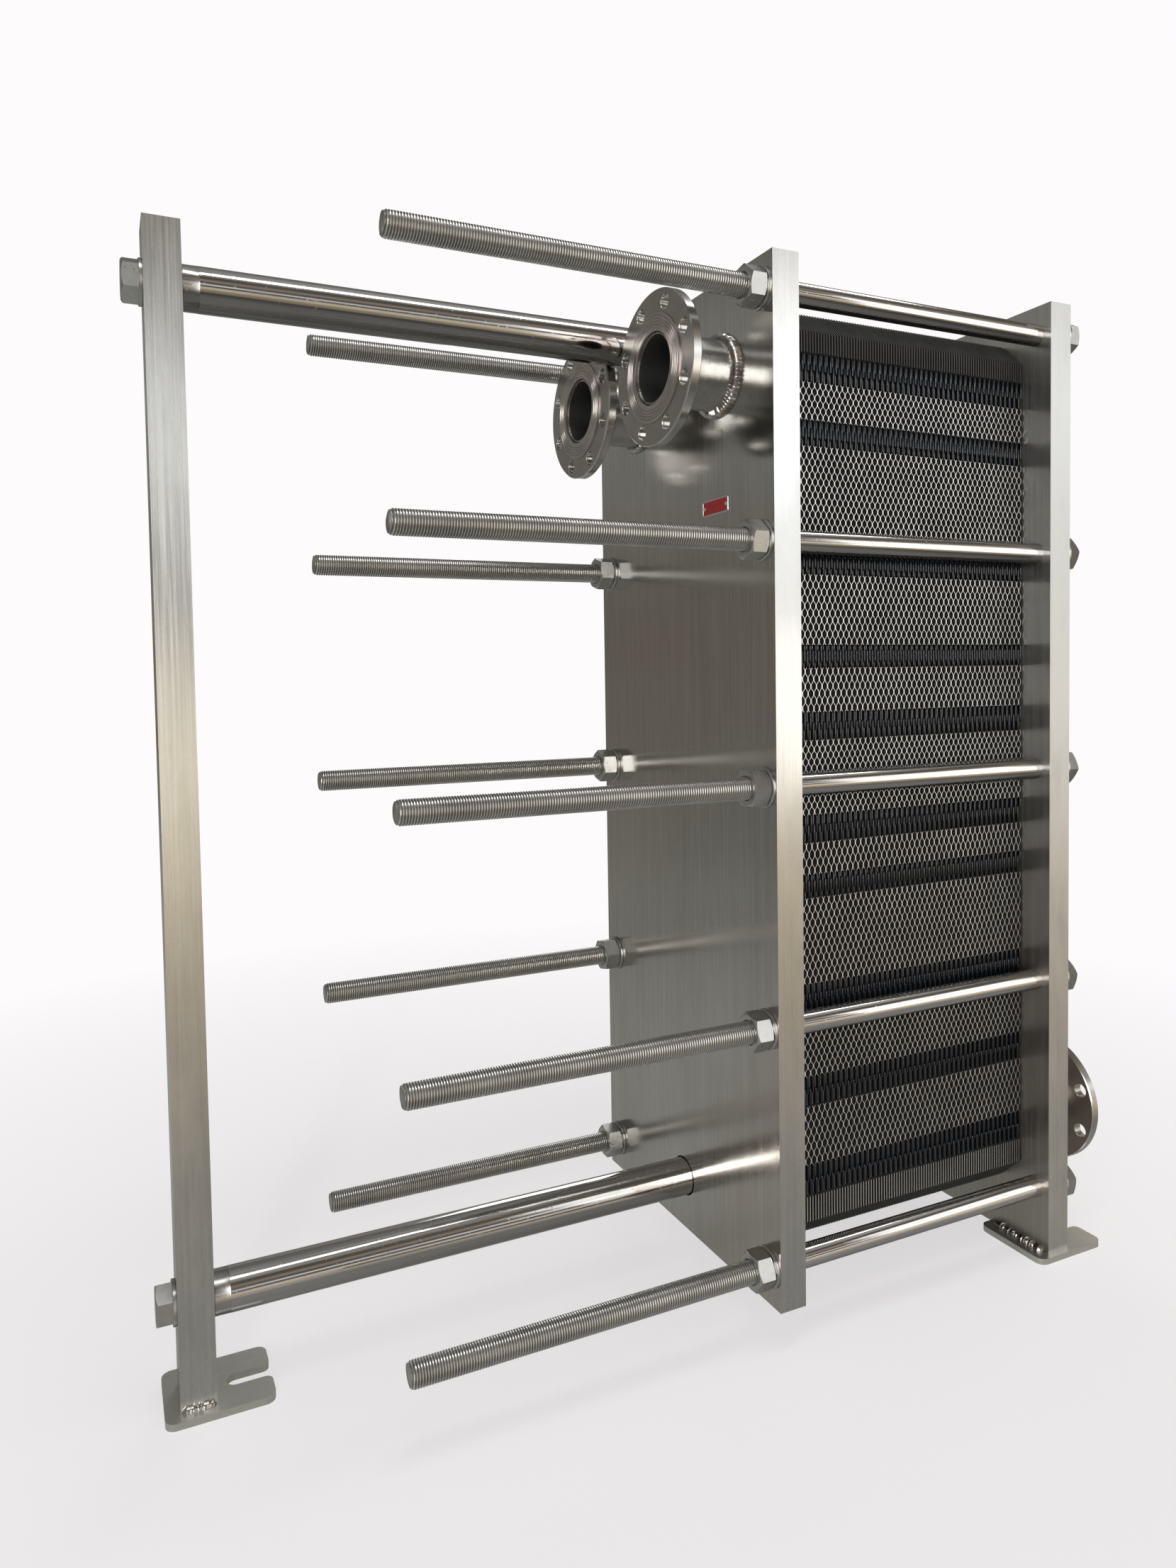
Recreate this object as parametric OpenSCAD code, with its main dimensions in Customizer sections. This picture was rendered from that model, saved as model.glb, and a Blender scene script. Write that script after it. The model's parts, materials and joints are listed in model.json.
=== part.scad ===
// Gasketed plate heat exchanger.
// A pack of thin heat plates hangs on two round bars between a fixed frame plate,
// which stands on feet, and a pressure plate that slides on the bars. Ten tie bolts
// squeeze the pack. An end column on its own foot carries the free ends of the bars.
// +X runs along the bars from the column to the fixed plate, +Y to the back, +Z up.
// The origin is on the floor in the middle of the overall footprint.

/* [Frame and pressure plates] */
// Width of both thick plates
plate_w = 430; // [400:1:520]
// Thickness of both thick plates
plate_t = 36; // [30:1:44]
// Height of their top edges above the floor
plate_top = 1268; // [1056:1:1522]
// Gap between the floor and the pressure plate
plate_lift = 47; // [40:1:60]

/* [Bars] */
// Diameter of the carrying bar and the guide bar
bar_d = 48; // [38:0.5:58]
// Distance from the plates' top edge down to the carrying bar's axis
bar_drop = 55; // [50:1:66]
// Distance from the pressure plate's bottom edge up to the guide bar's axis
bar_rise = 70; // [60:1:84]
// Clearance around a bar in the pressure plate's holes
bar_gap = 1.5; // [0.5:0.1:2.5]
// Depth of the tapped hole in each end of a bar
bar_tap = 32; // [28:1:45]

/* [Plate pack] */
// Heat plates in one packet; the pack has eight packets
packet_plates = 12; // [8:1:14]
// Distance from one heat plate to the next
plate_pitch = 4.15; // [3.4:0.05:5]
// Sheet thickness of a heat plate
sheet_t = 0.6; // [0.4:0.1:0.8]
// Margin between a heat plate's long edge and the thick plates' edge
pack_margin = 45; // [45:1:60]
// Chamfer at the four corners of a heat plate
corner_cut = 32; // [25:1:40]
// Clearance around a bar in the heat plates' notches
notch_gap = 0.5; // [0.3:0.1:1.5]
// How far the heat plates' top edge stays below the top of the carrying bar
hook_open = 5; // [1:0.5:8]
// How far the heat plates reach below the guide bar
pack_below = 8; // [4:1:12]
// Width of a gasket's bead
seal_w = 8; // [6:0.5:9]
// Margin between a heat plate's edge and its gasket's bead
seal_in = 14; // [11:0.5:16]
// Space between a bar's notch or a port and the bead that goes round it
seal_space = 12; // [10:0.5:14]
// Length of a gasket's clip-on tab
tab_h = 27; // [20:1:30]
// How far the tabs of odd and even plates stand apart
tab_shift = 4; // [2:0.5:6]
// How much narrower than the pipe's bore a port is, all round
port_lip = 1.5; // [0.5:0.5:3]

/* [Tie bolts] */
// Thread diameter of every bolt, a coarse M27
bolt_d = 27; // [22:0.5:33]
// Width across flats of every hex
hex_af = 41; // [38:1:43]
// Height of a nut
nut_h = 22; // [18:1:24]
// Height of a bolt head
head_h = 17; // [14:1:20]
// Distance from a tie bolt's axis to the thick plates' side edge
bolt_edge = 24; // [24:0.5:26]
// Distance from the plates' top edge to the top pair of tie bolts
bolt_top = 37; // [28:1:42]
// Distance from the pressure plate's bottom edge to the bottom pair
bolt_bottom = 44; // [28:1:48]
// Thread showing in front of the pressure plate when the pack is tight
tie_reach = 438; // [360:1:480]
// Outside diameter of a washer
washer_d = 48; // [46:1:50]
// Thickness of a washer
washer_t = 4; // [3:0.5:5]
// Clearance around a tie bolt in the pressure plate
hole_gap = 1.5; // [0.5:0.1:2]
// Running clearance of a nut on its bolt
nut_gap = 0.05; // [0.03:0.01:0.2]

/* [Nozzles] */
// Outside diameter of a nozzle pipe
pipe_d = 84; // [68:0.5:101]
// Wall of a nozzle pipe
pipe_wall = 3; // [2:0.5:4]
// Distance from a thick plate to its flange's face
nozzle_l = 92; // [76:1:120]
// Distance from a flange's face back to the end of its pipe
pipe_recess = 5; // [4:0.5:8]
// Gap between the rims of two flanges side by side
flange_apart = 24; // [8:1:30]
// Gap between an upper flange's rim and the carrying bar
flange_gap = 2.85; // [1.5:0.05:12]
// Outside diameter of a flange
flange_d = 180; // [165:1:184]
// Thickness of a flange over its raised face
flange_t = 14; // [12:1:20]
// Diameter of a flange's bolt circle
flange_pcd = 150; // [146:1:152]
// Diameter of a flange's bolt holes
flange_hole = 18; // [14:1:19]
// Diameter of a flange's raised face
raised_d = 126; // [112:1:128]
// Height of a flange's raised face
raised_h = 2; // [1:0.5:3]
// Leg of the weld between a pipe and a thick plate
plate_weld = 9; // [6:0.5:10]
// Leg of the weld behind a flange
flange_weld = 4; // [3:0.5:5]
// Leg of the weld in a flange's mouth
mouth_weld = 3.5; // [2:0.5:4]

/* [Column and feet] */
// Distance from the column to the pressure plate when the pack is tight
col_gap = 607; // [520:1:720]
// Column size along the bars
col_t = 38; // [30:1:45]
// Column size across the bars
col_w = 50; // [44:1:60]
// Height of the column's top above the carrying bar's axis
col_over = 62; // [40:1:80]
// Length of every foot along the bars
foot_l = 115; // [100:1:140]
// Width of the column's foot
col_foot_w = 94; // [80:1:120]
// How far the column's foot is set toward the back of the frame
col_foot_set = 7; // [0:0.5:12]
// Width of each foot under the fixed plate
frame_foot_w = 105; // [90:1:120]
// How far a foot stands out past the fixed plate's side
frame_foot_out = 7; // [0:1:20]
// How far a foot reaches out behind the column's outer face
col_foot_back = 16; // [8:1:24]
// How far a foot reaches out before the fixed plate
frame_foot_back = 20; // [12:1:28]
// Thickness of every foot
foot_t = 8; // [6:1:12]
// Corner radius of every foot
foot_r = 11; // [6:1:16]
// Width of an anchor slot
slot_w = 20; // [14:1:24]
// Radius at the mouth of an anchor slot
slot_round = 8; // [3:0.5:9]
// Length of an anchor slot
slot_l = 48.3; // [36:0.1:60]
// Leg of the welds along the feet
foot_weld = 6; // [4:0.5:8]

/* [Rating plate] */
// Width of the rating plate
tag_w = 56; // [40:1:70]
// Height of the rating plate
tag_h = 19; // [14:1:30]
// Thickness of the rating plate
tag_t = 0.8; // [0.6:0.1:1.5]
// Distance from the centre plane to its middle
tag_y = 94; // [60:1:120]
// Distance from the plates' top edge down to its middle
tag_drop = 268; // [240:1:300]
// Diameter of its rivets
rivet_d = 3; // [2:0.5:4]

/* [Hidden] */
$fn = 96;
e = 0.5;                       // overshoot of a cutter
PACKETS = 8;
BOLT_ROWS = 5;
FLANGE_BOLTS = 8;
HEX_CROWN = 0.96;              // a hex's turned face, as a share of its flats
packet_gap = 0.2;              // air between one packet and the next
packet_l = packet_plates * plate_pitch;
pack_l = PACKETS * packet_l + (PACKETS + 1) * packet_gap;

// Stations along the bars
total_l = head_h + washer_t + col_t + col_gap + 2 * plate_t + pack_l + nozzle_l;
x_left = -total_l / 2;
x_col = x_left + head_h + washer_t;
x_press = x_col + col_t + col_gap;
x_pack = x_press + plate_t;
x_fixed = x_pack + pack_l;
x_back = x_fixed + plate_t;

// Heights and offsets across the bars
carry_z = plate_top - bar_drop;
guide_z = plate_lift + bar_rise;
bolt_y = plate_w / 2 - bolt_edge;
bolt_z1 = plate_top - bolt_top;
bolt_z5 = plate_lift + bolt_bottom;
bolt_step = (bolt_z1 - bolt_z5) / (BOLT_ROWS - 1);
mid_z = (bolt_z1 + bolt_z5) / 2;
nozzle_y = (flange_d + flange_apart) / 2;
nozzle_drop = sqrt(pow((flange_d + bar_d) / 2 + flange_gap, 2) - pow(nozzle_y, 2));
port_up = carry_z - nozzle_drop - mid_z;
pipe_bore = pipe_d / 2 - pipe_wall;
port_r = pipe_bore - port_lip;
bore_gap = 0.1;                // air around a pipe or a bolt inside one body
washer_gap = 0.8;              // air around a tie bolt in a nut's washer
chamfer = 2;                   // on the tip of every bolt
rivet_in = 4;                  // rating plate's end to a rivet's axis
rivet_head = 0.7;              // height of a rivet's head
bolt_grip = bar_tap - chamfer; // thread of an end bolt inside its bar
column_top = carry_z + col_over;
frame_foot_y = plate_w / 2 + frame_foot_out - frame_foot_w / 2;

// Heat plate and gasket outline
pack_w = plate_w - 2 * pack_margin;
pack_top = carry_z + bar_d / 2 - hook_open;
pack_bottom = guide_z - bar_d / 2 - pack_below;
notch_r = bar_d / 2 + notch_gap;
seal_beside = 8;                // space between a notch and the bead at its side
seal_turn = 10;                // run of the bead's slope beside a notch
corner_turn = tan(22.5);       // keeps the bead's width round a 45 degree corner
port_seal_in = 4.5;            // port's edge to the inside of its ring
port_seal_w = 6;               // width of a port's ring
// Heights of the tab bands, as shares of the pack's half height
tab_at = [0.870, 0.734, 0.464, 0.266, 0.118, -0.101, -0.224, -0.464, -0.668, -0.863];

// ---------- Shared shapes ----------

// Round bar along +X
module rod_x(x, y, z, length, r) {
    translate([x, y, z]) rotate([0, 90, 0]) cylinder(h = length, r = r);
}

// Puts children drawn along +Z onto an axis along +X, or along -X with way = -1
module along_x(x, y, z, way = 1) {
    translate([x, y, z]) rotate([0, 90 * way, 0]) children();
}

// Height of a row of tie bolts, counted from the top
function row_z(row) = bolt_z1 - (row - 1) * bolt_step;

// Every tie bolt position
module each_tie_bolt() {
    for (side = [-1, 1], row = [1 : BOLT_ROWS])
        translate([0, side * bolt_y, row_z(row)]) children();
}

// Hexagon with turned corners; the far end is turned too on a nut
module hex_blank(height, both_ends) {
    corner = hex_af / sqrt(3);
    flat = hex_af / 2 * HEX_CROWN;
    drop = (corner - flat) * tan(30);
    far = both_ends ? flat : corner;
    intersection() {
        cylinder(h = height, r = corner, $fn = 6);
        rotate_extrude()
            polygon([[0, 0], [far, 0], [corner, both_ends ? drop : 0],
                     [corner, height - drop], [flat, height], [0, height]]);
    }
}

// Hex bolt along +Z: the head stands on the plane z = 0, the shank runs below it
module hex_bolt(length) {
    hex_blank(head_h, false);
    rotate_extrude()
        polygon([[0, 0], [bolt_d / 2, 0], [bolt_d / 2, chamfer - length],
                 [bolt_d / 2 - chamfer, -length], [0, -length]]);
}

module washer() {
    difference() {
        cylinder(h = washer_t, d = washer_d);
        translate([0, 0, -e]) cylinder(h = washer_t + 2 * e, r = bolt_d / 2 + bore_gap);
    }
}

// Flat plate on the floor with round corners
module round_plate(length, width, thickness, r) {
    linear_extrude(thickness) {
        translate([r, 0]) square([length - 2 * r, width]);
        translate([0, r]) square([length, width - 2 * r]);
        for (x = [r, length - r], y = [r, width - r]) translate([x, y]) circle(r);
    }
}

// Foot with an anchor slot that opens toward +X; its centre line is y = 0
module foot(x, width) {
    end = x + foot_l;
    mouth = slot_w / 2 + slot_round;
    difference() {
        translate([x, -width / 2, 0]) round_plate(foot_l, width, foot_t, foot_r);
        translate([end - slot_l + slot_w / 2, -slot_w / 2, -e])
            cube([slot_l, slot_w, foot_t + 2 * e]);
        translate([end - slot_l + slot_w / 2, 0, -e])
            cylinder(h = foot_t + 2 * e, d = slot_w);
        translate([end - slot_round, -mouth, -e])
            cube([slot_round + 1, 2 * mouth, foot_t + 2 * e]);
    }
    for (side = [-1, 1])
        translate([end - slot_round, side * mouth, 0])
            cylinder(h = foot_t, r = slot_round);
}

// Fillet weld around a pipe, standing on the plane z = 0
module ring_fillet(r, leg) {
    rotate_extrude() polygon([[r, 0], [r + leg, 0], [r, leg]]);
}

// ---------- Frame ----------

module fixed_plate() {
    color("#b4b5b0")
    difference() {
        translate([x_fixed, -plate_w / 2, foot_t])
            cube([plate_t, plate_w, plate_top - foot_t]);
        for (side = [-1, 1])
            rod_x(x_fixed - e, side * nozzle_y, mid_z - port_up,
                  plate_t + 2 * e, pipe_d / 2 + bore_gap);
        each_tie_bolt() rod_x(x_fixed - e, 0, 0, plate_t + 2 * e, bolt_d / 2 + bore_gap);
        for (z = [carry_z, guide_z])
            rod_x(x_fixed - e, 0, z, plate_t + 2 * e, bolt_d / 2 + bore_gap);
    }
}

module fixed_feet() {
    color("#9a9c98")
    for (side = [-1, 1])
        translate([0, side * frame_foot_y, 0]) foot(x_fixed - frame_foot_back, frame_foot_w);
}

// Fillet weld along +X: one leg on the plane z = 0, the other up the wall y = 0
module fillet(length, leg) {
    rotate([90, 0, 90]) linear_extrude(length) polygon([[0, 0], [leg, 0], [0, leg]]);
}

// Weld beads on the feet: before and behind the fixed plate, on both sides of the column
module foot_welds() {
    run = frame_foot_w - 2 * foot_r - 2;
    color("#8d8e8a") {
        for (side = [-1, 1]) {
            y = side * (frame_foot_y - frame_foot_out / 2) - run / 2;
            translate([x_fixed, y, foot_t]) rotate(90) fillet(run, foot_weld);
            translate([x_back, y + run, foot_t]) rotate(-90) fillet(run, foot_weld);
        }
        translate([x_col + 1, col_w / 2, foot_t]) fillet(col_t - 2, foot_weld);
        translate([x_col + col_t - 1, -col_w / 2, foot_t]) rotate(180) fillet(col_t - 2, foot_weld);
    }
}

module column() {
    color("#aaaba6")
    difference() {
        translate([x_col, -col_w / 2, foot_t]) cube([col_t, col_w, column_top - foot_t]);
        for (z = [carry_z, guide_z])
            rod_x(x_col - e, 0, z, col_t + 2 * e, bolt_d / 2 + bore_gap);
    }
}

module column_foot() {
    color("#9a9c98") translate([0, col_foot_set, 0]) foot(x_col - col_foot_back, col_foot_w);
}

module column_bolts() {
    color("#c9cac6")
    for (z = [carry_z, guide_z])
        along_x(x_col - washer_t, 0, z, -1) hex_bolt(washer_t + col_t + bolt_grip);
}

module column_washers() {
    color("#c2c3bf") for (z = [carry_z, guide_z]) along_x(x_col - washer_t, 0, z) washer();
}

// Round bar between the column and the fixed plate, tapped at both ends
module bar(z) {
    length = x_fixed - x_col - col_t;
    color("#cfd0cc")
    difference() {
        rod_x(x_col + col_t, 0, z, length, bar_d / 2);
        for (x = [x_col + col_t - e, x_fixed - bar_tap])
            rod_x(x, 0, z, bar_tap + e, bolt_d / 2 + bore_gap);
    }
}

module bar_end_bolts() {
    color("#c9cac6")
    for (z = [carry_z, guide_z])
        along_x(x_back + washer_t, 0, z) hex_bolt(washer_t + plate_t + bolt_grip);
}

module bar_end_washers() {
    color("#c2c3bf") for (z = [carry_z, guide_z]) along_x(x_back, 0, z) washer();
}

module tie_bolts() {
    length = x_back + washer_t - x_press + tie_reach;
    color("#d2d3cf") each_tie_bolt() along_x(x_back + washer_t, 0, 0) hex_bolt(length);
}

module tie_bolt_washers() {
    color("#c2c3bf") each_tie_bolt() along_x(x_back, 0, 0) washer();
}

// ---------- Nozzles ----------

// Slip-on flange whose face is the plane z = 0 and whose back is toward -Z
module flange() {
    color("#bfc0bb")
    difference() {
        union() {
            translate([0, 0, -flange_t]) cylinder(h = flange_t - raised_h, d = flange_d);
            translate([0, 0, -raised_h - e]) cylinder(h = raised_h + e, d = raised_d);
        }
        translate([0, 0, -flange_t - e])
            cylinder(h = flange_t + 2 * e, r = pipe_d / 2 + bore_gap);
        for (i = [0 : FLANGE_BOLTS - 1])
            rotate((i + 0.5) * 360 / FLANGE_BOLTS) translate([flange_pcd / 2, 0, -flange_t - e])
                cylinder(h = flange_t + 2 * e, d = flange_hole);
    }
}

// Pipe that ends just inside the flange whose face is the plane z = 0
module pipe() {
    length = nozzle_l + plate_t - pipe_recess;
    color("#a9aaa6")
    translate([0, 0, -length - pipe_recess])
    difference() {
        cylinder(h = length, d = pipe_d);
        translate([0, 0, -e]) cylinder(h = length + 2 * e, r = pipe_bore);
    }
}

// Weld beads of one nozzle: on the thick plate, behind the flange and in its mouth
module nozzle_welds() {
    r = pipe_d / 2 + bore_gap;
    color("#8d8e8a") {
        translate([0, 0, -nozzle_l]) ring_fillet(r, plate_weld);
        translate([0, 0, -flange_t]) mirror([0, 0, 1]) ring_fillet(r, flange_weld);
        translate([0, 0, -pipe_recess])
            rotate_extrude() polygon([[pipe_bore, 0], [r, 0], [r, mouth_weld]]);
    }
}

// Puts a nozzle part on the fixed plate's back or on the pressure plate's front
module on_fixed(side) {
    along_x(x_back + nozzle_l, side * nozzle_y, mid_z - port_up) children();
}

module on_press(side) {
    along_x(x_press - nozzle_l, side * nozzle_y, mid_z + port_up, -1) children();
}

// ---------- Pressure plate ----------

module pressure_plate() {
    color("#b4b5b0")
    difference() {
        translate([x_press, -plate_w / 2, plate_lift])
            cube([plate_t, plate_w, plate_top - plate_lift]);
        for (side = [-1, 1])
            rod_x(x_press - e, side * nozzle_y, mid_z + port_up,
                  plate_t + 2 * e, pipe_d / 2 + bore_gap);
        each_tie_bolt() rod_x(x_press - e, 0, 0, plate_t + 2 * e, bolt_d / 2 + hole_gap);
        for (z = [carry_z, guide_z])
            rod_x(x_press - e, 0, z, plate_t + 2 * e, bar_d / 2 + bar_gap);
    }
}

module nut_washers() {
    color("#c2c3bf")
    each_tie_bolt() along_x(x_press - washer_t, 0, 0)
        difference() {
            cylinder(h = washer_t, d = washer_d);
            translate([0, 0, -e]) cylinder(h = washer_t + 2 * e, r = bolt_d / 2 + washer_gap);
        }
}

// Nut on one tie bolt, with running clearance on the thread
module nut(side, row) {
    color("#c9cac6")
    along_x(x_press - washer_t, side * bolt_y, row_z(row), -1)
        difference() {
            hex_blank(nut_h, true);
            translate([0, 0, -e]) cylinder(h = nut_h + 2 * e, r = bolt_d / 2 + nut_gap);
        }
}

module nameplate() {
    color("#a62b22")
    translate([x_press - tag_t, -tag_y, plate_top - tag_drop])
        difference() {
            translate([0, -tag_w / 2, -tag_h / 2]) cube([tag_t, tag_w, tag_h]);
            for (side = [-1, 1])
                rod_x(-e, side * (tag_w / 2 - rivet_in), 0, tag_t + 2 * e, rivet_d / 2);
        }
}

module nameplate_rivets() {
    color("#d8d9d5")
    for (side = [-1, 1])
        translate([x_press - tag_t, side * (tag_w / 2 - rivet_in) - tag_y,
                   plate_top - tag_drop]) {
            rod_x(0, 0, 0, tag_t, rivet_d / 2);
            rod_x(-rivet_head, 0, 0, rivet_head, rivet_d / 2 + 1);
        }
}

// ---------- Plate pack ----------

// Start of a packet, counted from the pressure plate
function packet_x(k) = x_pack + packet_gap + (k - 1) * (packet_l + packet_gap);

// Outline of a heat plate as (y, z) points
function sheet_edge() = let (w = pack_w / 2, c = corner_cut, t = pack_top, b = pack_bottom)
    [[-w, b + c], [-w + c, b], [w - c, b], [w, b + c],
     [w, t - c], [w - c, t], [-w + c, t], [-w, t - c]];

// Outline of the gasket bead, m further in; it dips around the bars' notches
function seal_edge(m) = let (
        w = pack_w / 2 - seal_in - m,
        c = corner_cut - corner_turn * m,
        t = pack_top - seal_in - m,
        b = pack_bottom + seal_in + m,
        top_dip = carry_z - notch_r - seal_space - m,
        low_dip = guide_z + notch_r + seal_space + m,
        n = notch_r + seal_beside + m,
        o = n + seal_turn)
    [[-w, b + c], [-w + c, b], [-o, b], [-n, low_dip], [n, low_dip], [o, b],
     [w - c, b], [w, b + c], [w, t - c], [w - c, t], [o, t], [n, top_dip],
     [-n, top_dip], [-o, t], [-w + c, t], [-w, t - c]];

// Extrudes a (y, z) outline along +X from x
module sheet_x(x, thickness) {
    translate([x, 0, 0]) rotate([90, 0, 90]) linear_extrude(thickness) children();
}

// One packet of heat plates with their four ports and two notches
module heat_plates(k) {
    x0 = packet_x(k);
    color("#c8cac6")
    difference() {
        for (i = [0 : packet_plates - 1])
            sheet_x(x0 + i * plate_pitch, sheet_t) polygon(sheet_edge());
        for (side = [-1, 1], up = [-1, 1])
            rod_x(x0 - e, side * nozzle_y, mid_z + up * port_up, packet_l + 2 * e, port_r);
        rod_x(x0 - e, 0, carry_z, packet_l + 2 * e, notch_r);
        rod_x(x0 - e, 0, guide_z, packet_l + 2 * e, notch_r);
        translate([x0 - e, -notch_r, pack_bottom - e])
            cube([packet_l + 2 * e, 2 * notch_r, guide_z - pack_bottom + e]);
    }
}

// One gasket: the bead, its clip-on tabs on both long edges, and two port rings, each with
// a link to the bead beside it
module gasket(odd) {
    edge = pack_w / 2;
    shut = odd ? -1 : 1;
    link = edge - seal_in - seal_w / 2 - nozzle_y;
    difference() {
        union() {
            polygon(seal_edge(0));
            for (side = [-1, 1], at = tab_at)
                translate([side > 0 ? edge - seal_in - 1 : 2 - edge,
                           mid_z - side * at * (pack_top - mid_z) - tab_h / 2
                           + (odd ? tab_shift : -tab_shift) / 2])
                    square([seal_in - 1, tab_h]);
        }
        polygon(seal_edge(seal_w));
    }
    for (up = [-1, 1])
        translate([shut * nozzle_y, mid_z + up * port_up])
            difference() {
                union() {
                    circle(port_r + port_seal_in + port_seal_w);
                    translate([shut > 0 ? 0 : -link, -port_seal_w / 2]) square([link, port_seal_w]);
                }
                circle(port_r + port_seal_in);
            }
}

module gaskets(k) {
    color("#15171b")
    for (i = [0 : packet_plates - 1])
        sheet_x(packet_x(k) + i * plate_pitch + sheet_t, plate_pitch - sheet_t)
            gasket(i % 2 == 1);
}

fixed_plate();
fixed_feet();
foot_welds();
column();
column_foot();
column_bolts();
column_washers();
bar(carry_z);  // carrying_bar
bar(guide_z);  // guide_bar
bar_end_bolts();
bar_end_washers();
tie_bolts();
tie_bolt_washers();
on_fixed(-1) pipe();  // fixed_pipe_near
on_fixed(1) pipe();  // fixed_pipe_far
on_fixed(-1) flange();  // fixed_flange_near
on_fixed(1) flange();  // fixed_flange_far
for (side = [-1, 1]) on_fixed(side) nozzle_welds();  // fixed_welds
pressure_plate();
on_press(-1) pipe();  // pressure_pipe_near
on_press(1) pipe();  // pressure_pipe_far
on_press(-1) flange();  // pressure_flange_near
on_press(1) flange();  // pressure_flange_far
for (side = [-1, 1]) on_press(side) nozzle_welds();  // pressure_welds
nut_washers();
nameplate();
nameplate_rivets();
nut(-1, 1);  // nut_near_1
nut(-1, 2);  // nut_near_2
nut(-1, 3);  // nut_near_3
nut(-1, 4);  // nut_near_4
nut(-1, 5);  // nut_near_5
nut(1, 1);  // nut_far_1
nut(1, 2);  // nut_far_2
nut(1, 3);  // nut_far_3
nut(1, 4);  // nut_far_4
nut(1, 5);  // nut_far_5
heat_plates(1);  // heat_plates_1
heat_plates(2);  // heat_plates_2
heat_plates(3);  // heat_plates_3
heat_plates(4);  // heat_plates_4
heat_plates(5);  // heat_plates_5
heat_plates(6);  // heat_plates_6
heat_plates(7);  // heat_plates_7
heat_plates(8);  // heat_plates_8
gaskets(1);  // gaskets_1
gaskets(2);  // gaskets_2
gaskets(3);  // gaskets_3
gaskets(4);  // gaskets_4
gaskets(5);  // gaskets_5
gaskets(6);  // gaskets_6
gaskets(7);  // gaskets_7
gaskets(8);  // gaskets_8
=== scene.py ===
# Plate heat exchanger: its frame, bars, bolts, nozzles and welds first, then the pack of heat
# plates and gaskets, the rating plate, and the studio that it stands in.
import json
import math
import random

import bpy
import numpy as np
from mathutils import Matrix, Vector
from mathutils.geometry import delaunay_2d_cdt


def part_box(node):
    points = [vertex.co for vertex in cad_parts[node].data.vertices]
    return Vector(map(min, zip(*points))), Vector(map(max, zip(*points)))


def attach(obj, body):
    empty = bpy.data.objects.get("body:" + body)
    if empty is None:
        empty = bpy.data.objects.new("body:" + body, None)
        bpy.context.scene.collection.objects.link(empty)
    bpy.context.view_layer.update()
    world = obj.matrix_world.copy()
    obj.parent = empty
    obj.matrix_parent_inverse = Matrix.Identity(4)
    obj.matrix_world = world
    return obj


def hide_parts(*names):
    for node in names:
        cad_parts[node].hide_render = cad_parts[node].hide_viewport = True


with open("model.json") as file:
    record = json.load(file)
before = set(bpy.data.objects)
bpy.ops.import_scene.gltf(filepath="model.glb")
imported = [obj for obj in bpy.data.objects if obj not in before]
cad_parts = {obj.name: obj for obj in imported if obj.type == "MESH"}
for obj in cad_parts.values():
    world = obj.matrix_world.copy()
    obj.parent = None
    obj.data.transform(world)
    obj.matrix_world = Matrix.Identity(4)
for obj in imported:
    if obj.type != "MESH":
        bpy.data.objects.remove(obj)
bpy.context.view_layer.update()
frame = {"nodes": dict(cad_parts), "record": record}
nodes = frame["nodes"]


# ---- Fixed plate, pressure plate and column ----
# Stainless plate 36 mm thick and a flat bar of the same steel, sawn to size, drilled, and
# ground on a belt, so that every broad face carries an upright grain. The sawn sides are
# dressed by hand and come out lighter and duller. Their edges are broken with a file.

class Wire:
    """A shader socket. A sum written with it adds its Math nodes to the finish."""

    def __init__(self, finish, socket):
        self.finish = finish
        self.socket = socket

    def maths(self, operation, first, second):
        return self.finish.add("ShaderNodeMath", {"operation": operation}, {0: first, 1: second})

    def __add__(self, other):
        return self.maths("ADD", self, other)

    def __radd__(self, other):
        return self.maths("ADD", other, self)

    def __sub__(self, other):
        return self.maths("SUBTRACT", self, other)

    def __rsub__(self, other):
        return self.maths("SUBTRACT", other, self)

    def __mul__(self, other):
        return self.maths("MULTIPLY", self, other)

    def __rmul__(self, other):
        return self.maths("MULTIPLY", other, self)

    def __gt__(self, other):
        return self.maths("GREATER_THAN", self, other)

    def __abs__(self):
        return self.maths("ABSOLUTE", self, 0.0)


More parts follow.
